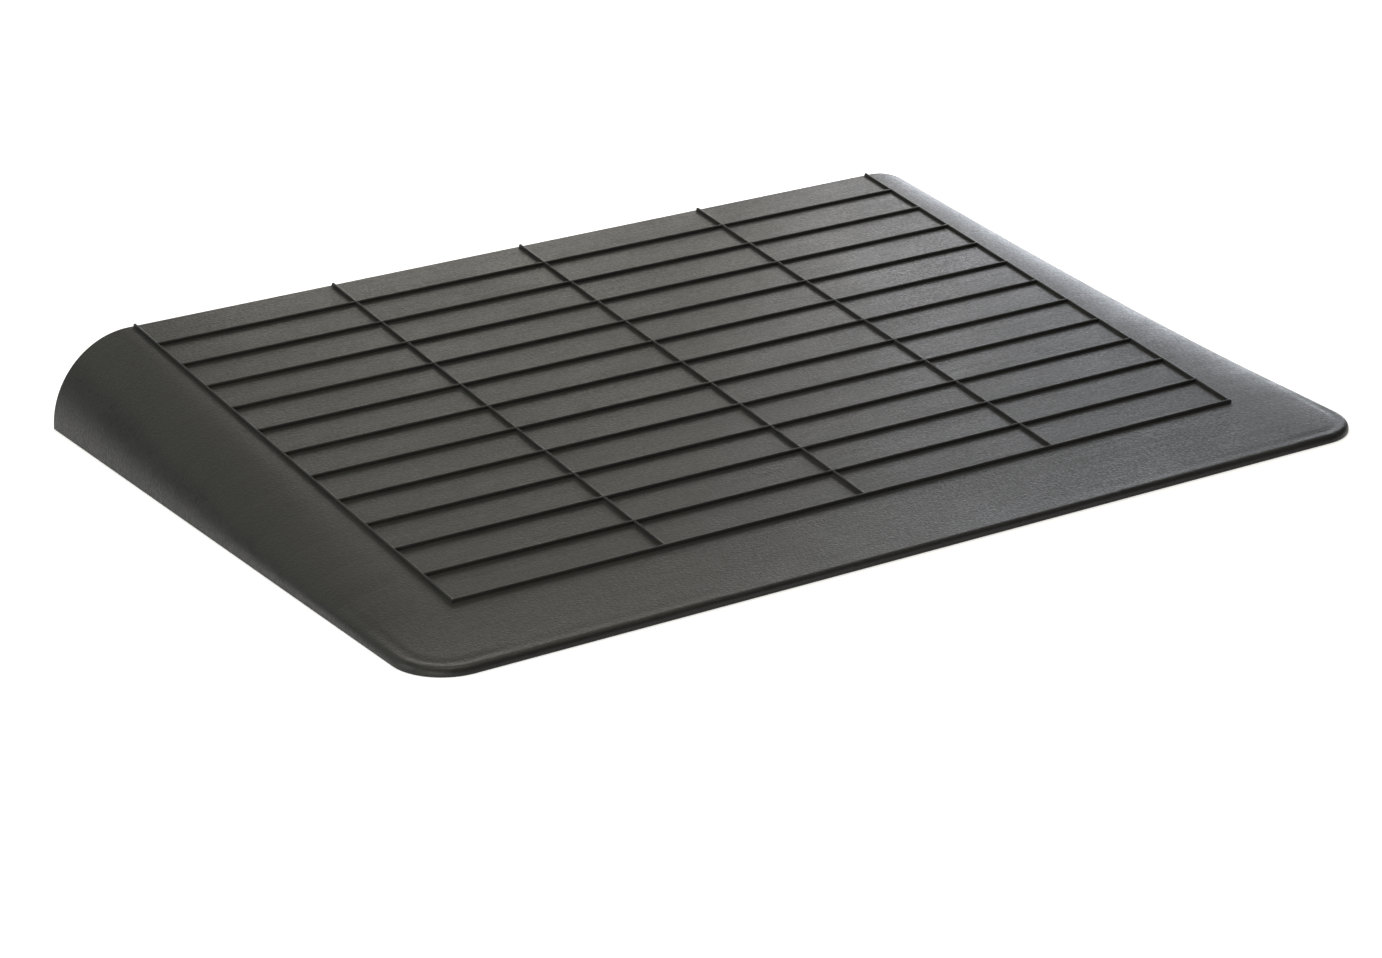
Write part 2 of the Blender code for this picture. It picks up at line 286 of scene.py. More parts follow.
def settle_shading(piece: bpy.types.Object) -> None:
    """Keeps broad flat faces flat beside their rounded edges."""
    weighted = piece.modifiers.new("flat faces", "WEIGHTED_NORMAL")
    weighted.keep_sharp = True
    weighted.weight = FLAT_FACE_WEIGHT
    apply(piece, weighted)


def bore(name: str, steps: list[Span], place: Matrix, sides: int = 32) -> bpy.types.Object:
    """Makes a stepped round cutter along the placed +Z.

    Args:
        name: The cutter's name.
        steps: Radius and far end of each step, one after another, the widest first.
        place: Where the cutter's start and direction lie.
        sides: How many sides it has.

    Returns:
        The cutter.
    """
    widest, reach = steps[0]
    bench = Bench(name).start_rod(widest, 0.0, reach, sides)
    for radius, end in steps[1:]:
        bench.choose(Kind.FACES, lambda face: face.calc_center_median().z > reach - WELD)
        bpy.ops.mesh.inset(thickness=widest - radius, use_even_offset=False)
        bench.pull((0, 0, end - reach))
        reach = end
    cutter = bench.take_off()
    cutter.data.transform(place)
    return cutter


def copy_to(piece: bpy.types.Object, name: str, place: Matrix) -> bpy.types.Object:
    """Copies a piece with a mesh of its own, placed in the mesh itself.

    Args:
        piece: The piece to copy.
        name: The copy's name.
        place: Where the copy goes.

    Returns:
        The copy, whose object stays at the origin.
    """
    twin = piece.copy()
    twin.data = piece.data.copy()
    twin.name = name
    twin.data.name = name
    twin.data.transform(place)
    bpy.context.scene.collection.objects.link(twin)
    return twin


def fit(piece: bpy.types.Object, node: str, finish: bpy.types.Material) -> None:
    """Puts a finished piece in the place of a CAD node.

    Args:
        piece: The finished piece.
        node: The CAD node that it stands for.
        finish: The piece's material.
    """
    piece.data.materials.clear()
    piece.data.materials.append(finish)
    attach(piece, BODY)
    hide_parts(node)
    log.info("%s stands for %s: %d faces", piece.name, node, len(piece.data.polygons))


# Finishes


@dataclass(frozen=True)
class Noise:
    """A noise: its size along each axis, its finer layers and how strong those are."""

    size: Point
    layers: float = 2.0
    strength: float = 0.6


class Board:
    """The node board of one material."""

    def __init__(self, name: str) -> None:
        """Makes the material.

        Args:
            name: Its name.
        """
        self.material = bpy.data.materials.new(name)
        self.material.use_nodes = True
        self.tree = self.material.node_tree
        self.shader = self.tree.nodes["Principled BSDF"]
        self.place = self.add("ShaderNodeTexCoord").outputs["Object"]

    def add(self, kind: str, **settings: object) -> bpy.types.Node:
        """Adds a node and sets its properties."""
        node = self.tree.nodes.new(kind)
        for key, value in settings.items():
            setattr(node, key, value)
        return node

    def join(self, source: Socket, target: Socket) -> None:
        """Links two sockets."""
        self.tree.links.new(source, target)

    def plug(self, source: Socket, name: str) -> None:
        """Links a socket to one of the shader's inputs."""
        self.join(source, self.shader.inputs[name])

    def set(self, name: str, value: float | tuple[float, ...]) -> None:
        """Gives one of the shader's inputs an even value."""
        self.shader.inputs[name].default_value = value

    def noise(self, noise: Noise) -> Socket:
        """Adds a noise, whose value runs from 0 to 1."""
        mapping = self.add("ShaderNodeMapping")
        mapping.inputs["Scale"].default_value = tuple(1.0 / part for part in noise.size)
        self.join(self.place, mapping.inputs["Vector"])
        node = self.add("ShaderNodeTexNoise")
        node.inputs["Scale"].default_value = 1.0
        node.inputs["Detail"].default_value = noise.layers
        node.inputs["Roughness"].default_value = noise.strength
        self.join(mapping.outputs["Vector"], node.inputs["Vector"])
        return node.outputs["Fac"]

    def span(self, value: Socket, given: Span, wanted: Span = (0.0, 1.0)) -> Socket:
        """Maps a value from one range to another.

        Args:
            value: The value to map.
            given: The range that it has.
            wanted: The range that it gets.

        Returns:
            The mapped value.
        """
        node = self.add("ShaderNodeMapRange", interpolation_type="SMOOTHSTEP")
        for name, end in zip(("From Min", "From Max", "To Min", "To Max"), (*given, *wanted)):
            node.inputs[name].default_value = end
        self.join(value, node.inputs["Value"])
        return node.outputs["Result"]

    def merge(self, how: str, first: Socket, second: Socket) -> Socket:
        """Merges two values by an operation, such as ADD."""
        node = self.add("ShaderNodeMath", operation=how)
        self.join(first, node.inputs[0])
        self.join(second, node.inputs[1])
        return node.outputs["Value"]

    def blend(self, share: Socket, low: Colour, high: Colour) -> Socket:
        """Mixes two colours by a share.

        Args:
            share: 0 for the first colour, 1 for the second.
            low: The first colour.
            high: The second colour.

        Returns:
            The mixed colour.
        """
        node = self.add("ShaderNodeMix", data_type="RGBA")
        node.inputs["A"].default_value = (*low, 1.0)
        node.inputs["B"].default_value = (*high, 1.0)
        self.join(share, node.inputs["Factor"])
        return node.outputs["Result"]

    def bump(self, height: Socket, depth: float, below: Socket | None = None) -> Socket:
        """Adds relief of this depth.

        Args:
            height: The relief, from 0 to 1.
            depth: How deep it is.
            below: The normal of the relief under it, if there is one.

        Returns:
            The normal.
        """
        node = self.add("ShaderNodeBump")
        node.inputs["Distance"].default_value = depth
        self.join(height, node.inputs["Height"])
        if below is not None:
            self.join(below, node.inputs["Normal"])
        return node.outputs["Normal"]


@dataclass(frozen=True)
class MouldedRubber:
    """Black rubber as it leaves the mould: a satin skin with flow marks and a little dust."""

    name: str
    colour: Colour
    dusty: Colour
    gloss: Span = (0.42, 0.48)
    grain: float = 0.0022
    grain_depth: float = 0.0003
    streaks: bool = False
    shine: float = 0.5
    cloud: Noise = Noise((0.09, 0.09, 0.09), 4.0)
    cloud_range: Span = (0.30, 0.72)
    wear_range: Span = (0.16, 0.40)
    speck: Noise = Noise((0.0024, 0.0024, 0.0024))
    speck_range: Span = (0.36, 0.64)
    speck_gloss: Span = (-0.07, 0.07)
    flow: Noise = Noise((0.14, 0.0030, 0.05))
    flow_range: Span = (0.30, 0.70)
    flow_gloss: Span = (-0.024, 0.024)
    wave: Noise = Noise((0.07, 0.05, 0.05), 1.0, 0.4)
    wave_depth: float = 0.0002

    def make(self) -> bpy.types.Material:
        """Builds the material."""
        board = Board(self.name)
        cloud = board.noise(self.cloud)
        speck = board.noise(self.speck)
        share = board.span(board.merge("MULTIPLY", cloud, speck), self.wear_range)
        board.plug(board.blend(share, self.colour, self.dusty), "Base Color")
        gloss = board.span(cloud, self.cloud_range, self.gloss)
        if self.streaks:
            flow = board.span(board.noise(self.flow), self.flow_range, self.flow_gloss)
            fleck = board.span(speck, self.speck_range, self.speck_gloss)
            gloss = board.merge("ADD", board.merge("ADD", gloss, flow), fleck)
        board.plug(gloss, "Roughness")
        board.set("Specular IOR Level", self.shine)
        fine = board.noise(Noise((self.grain, self.grain, self.grain)))
        normal = board.bump(board.noise(self.wave), self.wave_depth)
        board.plug(board.bump(fine, self.grain_depth, normal), "Normal")
        return board.material


@dataclass(frozen=True)
class MouldedPlastic:
    """Glass-filled black plastic with a fine spark-eroded grain."""

    name: str
    colour: Colour
    pale: Colour
    gloss: Span = (0.50, 0.62)
    cloud: Noise = Noise((0.05, 0.02, 0.02), 4.0)
    pale_range: Span = (0.35, 0.75)
    gloss_range: Span = (0.3, 0.7)
    grain: Noise = Noise((0.0006, 0.0006, 0.0006), 1.0, 0.5)
    grain_depth: float = 0.00003

    def make(self) -> bpy.types.Material:
        """Builds the material."""
        board = Board(self.name)
        cloud = board.noise(self.cloud)
        share = board.span(cloud, self.pale_range)
        board.plug(board.blend(share, self.colour, self.pale), "Base Color")
        board.plug(board.span(cloud, self.gloss_range, self.gloss), "Roughness")
        board.plug(board.bump(board.noise(self.grain), self.grain_depth), "Normal")
        return board.material


@dataclass(frozen=True)
class RolledMetal:
    """Bare metal with fine lines along one axis and faint smudges."""

    name: str
    colour: Colour
    dull: Colour
    gloss: Span
    lines: Noise
    line_range: Span = (0.3, 0.7)
    line_depth: float = 0.00001
    smudge: Noise = Noise((0.02, 0.02, 0.02), 3.0)
    smudge_range: Span = (0.4, 0.75)

    def make(self) -> bpy.types.Material:
        """Builds the material."""
        board = Board(self.name)
        share = board.span(board.noise(self.smudge), self.smudge_range)
        board.plug(board.blend(share, self.colour, self.dull), "Base Color")
        line = board.noise(self.lines)
        board.plug(board.span(line, self.line_range, self.gloss), "Roughness")
        board.set("Metallic", 1.0)
        board.plug(board.bump(line, self.line_depth), "Normal")
        return board.material


# The ramp


@dataclass
class Cover:
    """The moulded rubber cover: ribbed deck, rounded wings, front lip and the hollow below."""

    wing_width: float = 0.0725
    crest_height: float = 0.077
    apron_length: float = 0.090
    apron_height: float = 0.0150
    lip_height: float = 0.0064
    rim_front: float = 0.0060
    rim_rear: float = 0.0010
    corner_radius: float = 0.044
    lip_round: float = 0.0036
    corner_round: float = 0.0052
    roll_dip: float = 0.0005
    roll_width: float = 0.0105
    roll_spread: float = 0.0065
    roll_fade: float = 0.14
    crest_round: float = 0.0025
    wall: float = 0.008
    cavity_end: float = 0.010
    overcut: float = 0.010
    long_ribs: int = 5
    cross_ribs: int = 12
    rib_height: float = 0.0028
    rib_top: float = 0.0020
    rib_draft: float = 0.0003
    rib_margin: float = 0.0055
    rib_foot_round: float = 0.0002
    rib_edge_round: float = 0.0009
    wing_steps: int = 44
    lip_steps: int = 10
    apron_steps: int = 22
    apron_growth: float = 1.3
    finish: MouldedRubber = MouldedRubber(
        "cover rubber", (0.0125, 0.0125, 0.0116), (0.0180, 0.0180, 0.0162), streaks=True, shine=0.3
    )
    half_width: float = field(init=False)
    rear: float = field(init=False)
    front: float = field(init=False)
    wing_start: float = field(init=False)
    apron_y: float = field(init=False)
    slope: float = field(init=False)
    wall_drop: float = field(init=False)
    cavity_front: float = field(init=False)
    rib_x: list[float] = field(init=False)
    rib_y: list[float] = field(init=False)
    rib_half: float = field(init=False)

    def __post_init__(self) -> None:
        """Reads the outline from the CAD node and works out the rib lines."""
        low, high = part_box("ramp_cover")
        self.half_width = (high.x - low.x) / 2
        self.rear = high.y
        self.front = low.y
        depth = self.rear - self.front
        self.wing_start = self.half_width - self.wing_width
        self.apron_y = self.front + self.apron_length
        self.slope = (self.crest_height - self.apron_height) / (self.rear - self.apron_y)
        self.wall_drop = self.wall * math.hypot(1.0, self.slope)
        reach = (self.crest_height - self.wall_drop - self.cavity_end) / self.slope
        self.cavity_front = self.rear - reach
        pitch_x = 2 * (self.wing_start - self.rib_margin) / (self.long_ribs - 1)
        pitch_y = (depth - self.apron_length) / self.cross_ribs
        middle = (self.long_ribs - 1) / 2
        self.rib_x = [pitch_x * (i - middle) for i in range(self.long_ribs)]
        self.rib_y = [self.rear - pitch_y * (i + 1) for i in range(self.cross_ribs)]
        self.rib_half = self.rib_top / 2 + self.rib_draft

    @property
    def places(self) -> range:
        """The numbers of the long ribs, and of the bearers under them."""
        return range(1, self.long_ribs + 1)

    def deck_height(self, y: float) -> float:
        """Height of the deck between its ribs, which eases to the lip over the apron."""
        height = self.crest_height - self.slope * (self.rear - y)
        if y < self.apron_y:
            share = (self.apron_y - y) / self.apron_length
            plane = self.crest_height - self.slope * (self.rear - self.front)
            height += (self.lip_height - plane) * share**2
        return height

    def wing_share(self, x: float, width: float) -> float:
        """Share of the deck's height left at x, down a quarter ellipse of this width."""
        across = min(max((abs(x) - self.wing_start) / width, 0.0), 1.0)
        return math.sqrt(1 - across**2)

    def ceiling(self, y: float) -> float:
        """Height of the hollow's ceiling between the wings."""
        return self.crest_height - self.wall_drop - self.slope * (self.rear - y)

    def front_edge(self, x: float) -> float:
        """Y of the front edge at x, round the corners."""
        start = self.half_width - self.corner_radius
        over = min(max(abs(x) - start, 0.0), self.corner_radius)
        return self.front + self.corner_radius - math.sqrt(self.corner_radius**2 - over**2)

    def skin_height(self, x: float, y: float) -> float:
        """Height of the cover's skin without its ribs.

        Args:
            x: The place along the kerb.
            y: The place up the slope.

        Returns:
            The height of the skin there.
        """
        deck = self.deck_height(y)
        forward = (self.rear - y) / (self.rear - self.front)
        rim = min(self.rim_rear + (self.rim_front - self.rim_rear) * forward, deck)
        share = self.wing_share(x, self.wing_width)
        crest = round_drop(self.rear - y, self.crest_round) * share
        return rim + (deck - rim) * share - crest - self._edge_drop(x, y)

    def _edge_drop(self, x: float, y: float) -> float:
        """How far the rounded edge lies below the skin.

        The edge's round is widest at the corners, where a shallow hollow sets it off as a roll.
        Both fade out towards the middle of the lip and up the wings.

        Args:
            x: The place along the kerb.
            y: The place up the slope.

        Returns:
            The drop at that place.
        """
        over = abs(x) - (self.half_width - self.corner_radius)
        ahead = self.front + self.corner_radius - y
        if over > 0 and ahead > 0:
            inside = self.corner_radius - math.hypot(over, ahead)
            strength = 1.0
        else:
            inside = self.half_width - abs(x) if ahead <= 0 else y - self.front
            strength = max(1 + min(over, ahead) / self.roll_fade, 0.0)
        least = self.lip_round if ahead > 0 else 0.0
        radius = least + (self.corner_round - least) * strength
        off = min(abs(inside - self.roll_width) / self.roll_spread, 1.0)
        hollow = self.roll_dip * strength * (1 + math.cos(math.pi * off)) / 2
        return round_drop(inside, radius) + hollow

    def _rows(self) -> list[float]:
        """Y of every line across the cover's flat pattern."""
        turns = [RIGHT_ANGLE * (i + 1) / self.lip_steps for i in range(self.lip_steps)]
        lip = [self.front + self.corner_round * (1 - math.cos(turn)) for turn in turns]
        length = self.rib_y[-1] - self.rib_half - lip[-1]
        shares = [(i + 1) / self.apron_steps for i in range(self.apron_steps)]
        apron = [lip[-1] + length * share**self.apron_growth for share in shares]
        ribs = [y + side * self.rib_half for y in self.rib_y for side in (-1, 1)]
        crest = [self.rear - self.crest_round * (1 - math.cos(turn)) for turn in turns]
        return lip + apron[:-1] + sorted(ribs) + crest

    def _columns(self) -> list[float]:
        """X of every line up the cover's flat pattern."""
        wing = self._wing_columns(self.wing_width)
        ribs = [x + side * self.rib_half for x in self.rib_x for side in (-1, 1)]
        return sorted(ribs + wing)

    def _wing_columns(self, width: float) -> list[float]:
        """X of the lines down both wings of this width, closer where they fall away."""
        turns = [RIGHT_ANGLE * i / self.wing_steps for i in range(self.wing_steps)]
        wing = [self.wing_start + width * math.sin(turn) for turn in turns]
        return sorted([-x for x in wing] + wing)

    def _round_corners(self, bench: Bench, columns: Iterable[float]) -> None:
        """Draws each column of the wings back to the rounded corner."""
        limit = self.rib_y[-1] - self.rib_half
        for x in [*columns, -self.half_width, self.half_width]:
            if abs(x) <= self.half_width - self.corner_radius:
                continue
            bench.choose(
                Kind.POINTS,
                lambda point: abs(point.co.x - x) < WELD and point.co.y < limit - WELD,
            )
            factor = (limit - self.front_edge(x)) / (limit - self.front)
            bench.stretch((1, factor, 1), (0, limit, 0))

    def _in_rib(self, face: bmesh.types.BMFace) -> bool:
        """Says whether a face of the pattern lies under a rib."""
        middle = face.calc_center_median()
        outer = self.rib_x[-1] + self.rib_half
        first = self.rib_y[-1] - self.rib_half
        if abs(middle.x) > outer or not first < middle.y < self.rear - self.crest_round:
            return False
        along = any(abs(middle.x - x) < self.rib_half for x in self.rib_x)
        return along or any(abs(middle.y - y) < self.rib_half for y in self.rib_y)

    def _raise_ribs(self, bench: Bench) -> None:
        """Insets the ribs upwards from the deck and rounds their edges and feet."""
        bench.choose(Kind.FACES, self._in_rib)
        bpy.ops.mesh.inset(thickness=self.rib_draft, depth=self.rib_height, use_even_offset=True)
        mesh = bmesh.from_edit_mesh(bench.piece.data)
        tops = {face.index for face in mesh.faces if face.select}
        near = {
            other.index
            for face in mesh.faces
            if face.index in tops
            for edge in face.edges
            for other in edge.link_faces
        }
        walls = near - tops
        weights = mesh.edges.layers.float.new("bevel_weight_edge")
        for edge in mesh.edges:
            sides = {face.index for face in edge.link_faces}
            if len(sides & walls) == 1 and len(sides) == 2:
                at_top = bool(sides & tops)
                edge[weights] = 1.0 if at_top else self.rib_foot_round / self.rib_edge_round
        bmesh.update_edit_mesh(bench.piece.data)

    def _hollow(self) -> bpy.types.Object:
        """Makes the shape of the hollow, open below and behind."""
        width = self.wing_width - self.wall
        half = self.wing_start + width
        bench = Bench("hollow").start_sheet(
            (-half, self.cavity_front, 0), (half, self.rear + self.overcut, 0)
        )
        bench.slice(0, self._wing_columns(width))
        bench.lift(lambda x, y: self.ceiling(y) * self.wing_share(x, width))
        bench.close_down(self.overcut)
        return bench.take_off()

    def build(self) -> None:
        """Models the cover and dresses it."""
        bench = Bench("moulded_cover").start_sheet(
            (-self.half_width, self.front, 0), (self.half_width, self.rear, 0)
        )
        columns = self._columns()
        bench.slice(0, columns)
        bench.slice(1, self._rows())
        self._round_corners(bench, columns)
        bench.lift(self.skin_height)
        self._raise_ribs(bench)
        bench.close_down()
        cover = bench.take_off()
        rounding = cover.modifiers.new("rib rounds", "BEVEL")
        rounding.limit_method = "WEIGHT"
        rounding.width = self.rib_edge_round
        rounding.segments = ROUND_STEPS
        rounding.use_clamp_overlap = False
        apply(cover, rounding)
        carve(cover, self._hollow())
        pick_up(cover)
        bpy.ops.object.shade_smooth_by_angle(angle=SMOOTH_ANGLE)
        settle_shading(cover)
        fit(cover, "ramp_cover", self.finish.make())


def round_drop(distance: float, radius: float) -> float:
    """How far a rounded edge lies below its flat.

    Args:
        distance: How far inside the edge.
        radius: The radius of the round.

    Returns:
        The drop, which is nothing past the radius.
    """
    inside = min(max(radius - distance, 0.0), radius)
    return radius - math.sqrt(radius**2 - inside**2)


@dataclass
class KerbPanel:
    """The panel that closes the cover's open back, counterbored for its screws."""

    cover: Cover
    steps: int = 36
    edge: float = 0.0007
    finish: MouldedRubber = MouldedRubber(
        "panel rubber", (0.020, 0.020, 0.019), (0.030, 0.030, 0.028), (0.52, 0.64)
    )

    def _shape(self, low: Vector, high: Vector) -> Bench:
        """Shapes the panel's ends to the wings.

        Args:
            low: The panel's lowest corner.
            high: Its highest corner.

        Returns:
            The bench with the panel on it.
        """
        bench = Bench("moulded_kerb_panel").start_block(low, high)
        start = self.cover.wing_start
        width = high.x - start
        turns = [RIGHT_ANGLE * i / self.steps for i in range(self.steps + 1)]
        places = [start + width * math.sin(turn) for turn in turns]
        bench.slice(0, sorted([-x for x in places[:-1]] + places[:-1]))
        for x, turn in zip(places, turns):
            bench.choose(
                Kind.POINTS,
                lambda point: abs(abs(point.co.x) - x) < WELD and point.co.z > low.z + WELD,
            )
            bench.stretch((1, 1, math.cos(turn)), (0, 0, low.z))
        bench.weld()
        return bench

    def build(self) -> None:
        """Models the panel and dresses it."""
        low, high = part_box("kerb_panel")
        bench = self._shape(low, high)

        def at_rim(edge: bmesh.types.BMEdge) -> bool:
            """Says whether an edge runs round the panel's back."""
            backs = [face.normal.y > FACING for face in edge.link_faces]
            return any(backs) and not all(backs)

        bench.choose(Kind.EDGES, at_rim)
        bench.round_off(self.edge, EDGE_STEPS)
        panel = bench.take_off()
        start = high.y + OVERCUT
        for index in self.cover.places:
            for level in LEVELS:
                screw = Seat.of(f"panel_screw_{level}_{index}", Side.KERB)
                steps = [
                    (screw.radius + PLAY, start - screw.start + Screw.head_height),
                    (Screw.shank + PLAY, start - low.y + OVERCUT),
                ]
                carve(panel, bore("screw way", steps, screw.matrix(start)))
        settle_shading(panel)
        fit(panel, "kerb_panel", self.finish.make())


class Side(Enum):
    """The side from which a round piece is put in."""

    GROUND = Matrix.Identity(4)
    KERB = Matrix.Rotation(RIGHT_ANGLE, 4, "X")


@dataclass(frozen=True)
class Seat:
    """Where a round piece sits: its axis, its outer face and its far end."""

    side: Side
    middle: Vector
    radius: float
    start: float
    end: float

    @classmethod
    def of(cls, node: str, side: Side) -> "Seat":
        """Reads the seat from a CAD node.

        Args:
            node: The node's name.
            side: The side that it is put in from.

        Returns:
            The seat.
        """
        low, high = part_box(node)
        radius = (high.x - low.x) / 2
        if side is Side.KERB:
            return cls(side, (low + high) / 2, radius, high.y, low.y)
        return cls(side, (low + high) / 2, radius, low.z, high.z)

    def matrix(self, start: float | None = None) -> Matrix:
        """The place of something made along +Z whose outer face lies at start."""
        start = self.start if start is None else start
        if self.side is Side.KERB:
            place = (self.middle.x, start, self.middle.z)
        else:
            place = (self.middle.x, self.middle.y, start)
        return Matrix.Translation(place) @ self.side.value


@dataclass
class Bearers:
    """The wedge bearers under the long ribs, notched for the ties and bored for feet and screws."""

    cover: Cover
    edge: float = 0.0010
    seat_sides: int = 48
    finish: MouldedPlastic = MouldedPlastic(
        "bearer plastic", (0.018, 0.019, 0.020), (0.030, 0.031, 0.033)
    )

    def _wedge(self, index: int) -> bpy.types.Object:
        """Shapes one bearer's wedge with rounded edges.

        Args:
            index: The bearer's number, from 1.

        Returns:
            The plain wedge.
        """
        low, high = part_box(f"bearer_{index}")
        bench = Bench(f"wedge_bearer_{index}").start_block(low, high)
        share = self.cover.ceiling(low.y) / self.cover.ceiling(high.y)
        front = (high.z + PLAY) * share - PLAY
        bench.choose(
            Kind.POINTS,
            lambda point: point.co.y < low.y + WELD and point.co.z > low.z + WELD,
        )
        bench.move((0, 0, front - high.z))
        bpy.ops.mesh.select_all(action="SELECT")
        bench.round_off(self.edge, EDGE_STEPS)
        return bench.take_off()

    def _fit_out(self, bearer: bpy.types.Object, index: int) -> None:
        """Cuts a bearer's notches, seats and screw holes.

        Args:
            bearer: The plain wedge.
            index: Its number, from 1.
        """
        base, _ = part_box(f"bearer_{index}")
        for tie in range(1, TIE_COUNT + 1):
            low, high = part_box(f"cross_tie_{tie}")
            below = Vector((OVERCUT, PLAY, OVERCUT))
            above = Vector((OVERCUT, PLAY, PLAY))
            notch = Bench("notch").start_block(low - below, high + above)
            carve(bearer, notch.take_off())
            screw = Seat.of(f"tie_screw_{tie}_{index}", Side.GROUND)
            steps = [(Screw.shank + PLAY, screw.end + PLAY - screw.start)]
            carve(bearer, bore("tie screw hole", steps, screw.matrix()))
        for end in ENDS:
            foot = Seat.of(f"foot_{end}_{index}", Side.GROUND)
            start = base.z - OVERCUT
            steps = [(foot.radius + PLAY, foot.end + PLAY - start)]
            carve(bearer, bore("foot seat", steps, foot.matrix(start), self.seat_sides))
        for level in LEVELS:
            screw = Seat.of(f"panel_screw_{level}_{index}", Side.KERB)
            steps = [(Screw.shank + PLAY, screw.start - screw.end + PLAY)]
            carve(bearer, bore("panel screw hole", steps, screw.matrix()))

    def build(self) -> None:
        """Models an inner and an outer bearer, copies each and dresses them all."""
        count = self.cover.long_ribs
        finish = self.finish.make()
        for first, others in ((count, (1,)), (count - 1, tuple(range(2, count - 1)))):
            bearer = self._wedge(first)
            self._fit_out(bearer, first)
            settle_shading(bearer)
            fit(bearer, f"bearer_{first}", finish)
            for index in others:
                step = self.cover.rib_x[index - 1] - self.cover.rib_x[first - 1]
                twin = copy_to(bearer, f"wedge_bearer_{index}", Matrix.Translation((step, 0, 0)))
                fit(twin, f"bearer_{index}", finish)


@dataclass
class CrossTies:
    """The flat bars across the bearers, counterbored from below."""

    cover: Cover
    edge: float = 0.0008
    end_edge: float = 0.0008 / 3
    finish: RolledMetal = RolledMetal(
        "tie aluminium",
        (0.60, 0.61, 0.62),
        (0.48, 0.49, 0.50),
        gloss=(0.30, 0.44),
        lines=Noise((0.30, 0.0007, 0.0007)),
    )

    def build(self) -> None:
        """Models the rear tie, copies it forwards and dresses all of them."""
        low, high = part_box("cross_tie_1")
        bench = Bench("flat_tie_1").start_block(low, high)
        bench.choose(Kind.EDGES, lambda edge: edge.calc_length() > high.x)
        bench.round_off(self.edge, EDGE_STEPS)

        def at_end(edge: bmesh.types.BMEdge) -> bool:
            """Says whether an edge runs round one of the tie's ends."""
            return any(abs(face.normal.x) > FACING for face in edge.link_faces)

        bench.choose(Kind.EDGES, at_end)
        bench.round_off(self.end_edge, 1)
        tie = bench.take_off()
        for index in self.cover.places:
            screw = Seat.of(f"tie_screw_1_{index}", Side.GROUND)
            steps = [
                (screw.radius + PLAY, OVERCUT + Screw.head_height + PLAY),
                (Screw.shank + PLAY, 2 * OVERCUT + high.z - low.z),
            ]
            carve(tie, bore("tie screw way", steps, screw.matrix(low.z - OVERCUT)))
        settle_shading(tie)
        finish = self.finish.make()
        for number in range(2, TIE_COUNT + 1):
            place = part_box(f"cross_tie_{number}")[0] - low
            twin = copy_to(tie, f"flat_tie_{number}", Matrix.Translation(place))
            fit(twin, f"cross_tie_{number}", finish)
        fit(tie, "cross_tie_1", finish)


@dataclass
class Feet:
    """The round rubber feet, let into the bearers and standing on the ground."""

    cover: Cover
    chamfer: float = 0.001
    dish: float = 0.0005
    dish_margin: float = 0.0022
    sides: int = 48
    finish: MouldedRubber = MouldedRubber(
        "foot rubber", (0.014, 0.014, 0.014), (0.026, 0.026, 0.025), (0.62, 0.74), grain=0.0008
    )

    def _shape(self, name: str, seat: Seat) -> bpy.types.Object:
        """Models a foot with a rounded rim and a shallow dish in its sole.

        Args:
            name: The foot's name.
            seat: Where it sits.

        Returns:
            The foot.
        """
        bench = Bench(name).start_rod(seat.radius, 0.0, seat.end - seat.start, self.sides)
        bench.choose(Kind.EDGES, at_foot)
        bench.round_off(self.chamfer, ROUND_STEPS)
        bench.choose(Kind.FACES, lambda face: face.normal.z < -FULLY_FACING)
        bpy.ops.mesh.inset(thickness=self.dish_margin)
        bpy.ops.mesh.inset(thickness=self.dish, depth=-self.dish)
        foot = bench.take_off()
        foot.data.transform(seat.matrix())
        settle_shading(foot)
        return foot

    def build(self) -> None:
        """Models one foot, copies it to every seat and dresses them all."""
        finish = self.finish.make()
        first = Seat.of("foot_rear_1", Side.GROUND)
        foot = self._shape("round_foot_rear_1", first)
        for end in ENDS:
            for index in self.cover.places:
                node = f"foot_{end}_{index}"
                place = Seat.of(node, Side.GROUND).middle - first.middle
                if place.length > WELD:
                    twin = copy_to(foot, f"round_{node}", Matrix.Translation(place))
                    fit(twin, node, finish)
        fit(foot, "foot_rear_1", finish)


@dataclass
class Screw:
    """One pan-head screw with a hexagon socket, made along +Z with its head's face at zero."""

    shank: ClassVar[float] = 0.0025
    head: ClassVar[float] = 0.0045
    head_height: ClassVar[float] = 0.0030
    head_edge: ClassVar[float] = 0.0009
    socket: ClassVar[float] = 0.0022
    socket_depth: ClassVar[float] = 0.0016
    tip: ClassVar[float] = 0.0025
    tip_share: ClassVar[float] = 0.12
    head_sides: ClassVar[int] = 24
    socket_sides: ClassVar[int] = 6
    name: str
    length: float

    def shape(self) -> bpy.types.Object:
        """Models the screw.

        Returns:
            The screw, at the origin.
        """
        bench = Bench(self.name).start_rod(self.head, 0.0, self.head_height, self.head_sides)
        bench.choose(Kind.FACES, lambda face: face.normal.z > FULLY_FACING)
        bpy.ops.mesh.inset(thickness=self.head - self.shank)
        bench.pull((0, 0, self.length - self.head_height - self.tip))
        bench.pull((0, 0, self.tip))
        bench.stretch((self.tip_share, self.tip_share, 1.0), (0, 0, self.length))
        bench.choose(Kind.EDGES, at_foot)
        bench.round_off(self.head_edge, ROUND_STEPS)
        screw = bench.take_off()
        depth = self.socket_depth
        socket = Bench("socket").start_rod(self.socket, -depth, depth, self.socket_sides)
        carve(screw, socket.take_off())
        settle_shading(screw)
        return screw


